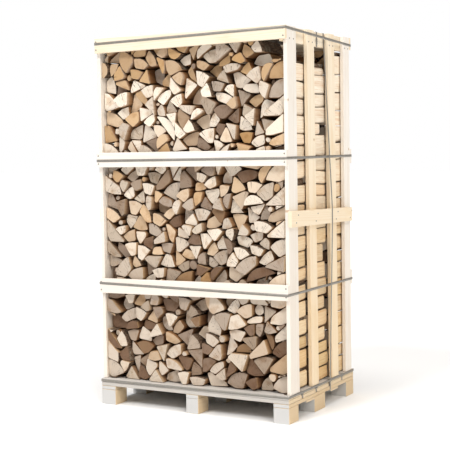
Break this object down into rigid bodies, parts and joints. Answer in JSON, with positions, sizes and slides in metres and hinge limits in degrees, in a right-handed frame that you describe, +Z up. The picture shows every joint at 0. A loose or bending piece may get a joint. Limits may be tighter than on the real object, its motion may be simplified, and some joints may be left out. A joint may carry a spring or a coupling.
{
  "type": "crate of split firewood",
  "caption": "Tall slatted timber crate on a block pallet, filled with short split logs and bound with flat steel strapping.",
  "frame": {"origin": "on the ground under the middle of the crate", "axes": "+Z up, the open front with the log ends towards -Y, +X to the right seen from the front"},
  "size_m": [1.1962, 0.8348, 2.0011],
  "materials": {
    "split_wood": "split and saw-cut, kiln dried",
    "crate_wood": "rough sawn pale pine",
    "pallet_wood": "rough sawn pine",
    "strap_steel": "blued flat strapping"
  },
  "bodies": {
    "root": {"block_back_left": "pallet_wood", "block_back_middle": "pallet_wood", "block_back_right": "pallet_wood", "block_front_left": "pallet_wood", "block_front_middle": "pallet_wood", "block_front_right": "pallet_wood", "block_middle_left": "pallet_wood", "block_middle_middle": "pallet_wood", "block_middle_right": "pallet_wood", "cross_board_back": "crate_wood", "cross_board_front": "crate_wood", "cross_board_middle": "crate_wood", "deck_board_1": "pallet_wood", "deck_board_2": "pallet_wood", "deck_board_3": "pallet_wood", "deck_board_4": "pallet_wood", "deck_board_5": "pallet_wood", "floor_board_1": "pallet_wood", "floor_board_2": "pallet_wood", "floor_board_3": "pallet_wood", "floor_board_4": "pallet_wood", "floor_board_5": "pallet_wood", "logs_bottom_back": "split_wood", "logs_bottom_front": "split_wood", "logs_bottom_middle": "split_wood", "logs_middle_back": "split_wood", "logs_middle_front": "split_wood", "logs_middle_middle": "split_wood", "logs_top_back": "split_wood", "logs_top_front": "split_wood", "logs_top_middle": "split_wood", "lower_rail_back": "crate_wood", "lower_rail_front": "crate_wood", "post_back_left": "crate_wood", "post_back_right": "crate_wood", "post_front_left": "crate_wood", "post_front_right": "crate_wood", "side_middle_board_left": "crate_wood", "side_middle_board_right": "crate_wood", "side_top_board_left": "crate_wood", "side_top_board_right": "crate_wood", "slat_back_left": "crate_wood", "slat_back_right": "crate_wood", "slat_front_left": "crate_wood", "slat_front_right": "crate_wood", "strap_base": "strap_steel", "strap_lower": "strap_steel", "strap_over_top": "strap_steel", "strap_tie": "strap_steel", "strap_top": "strap_steel", "strap_upper": "strap_steel", "stringer_left": "pallet_wood", "stringer_middle": "pallet_wood", "stringer_right": "pallet_wood", "top_board_back": "crate_wood", "top_board_front": "crate_wood", "under_board_back": "pallet_wood", "under_board_front": "pallet_wood", "upper_rail_back": "crate_wood", "upper_rail_front": "crate_wood"}
  },
  "joints": []
}
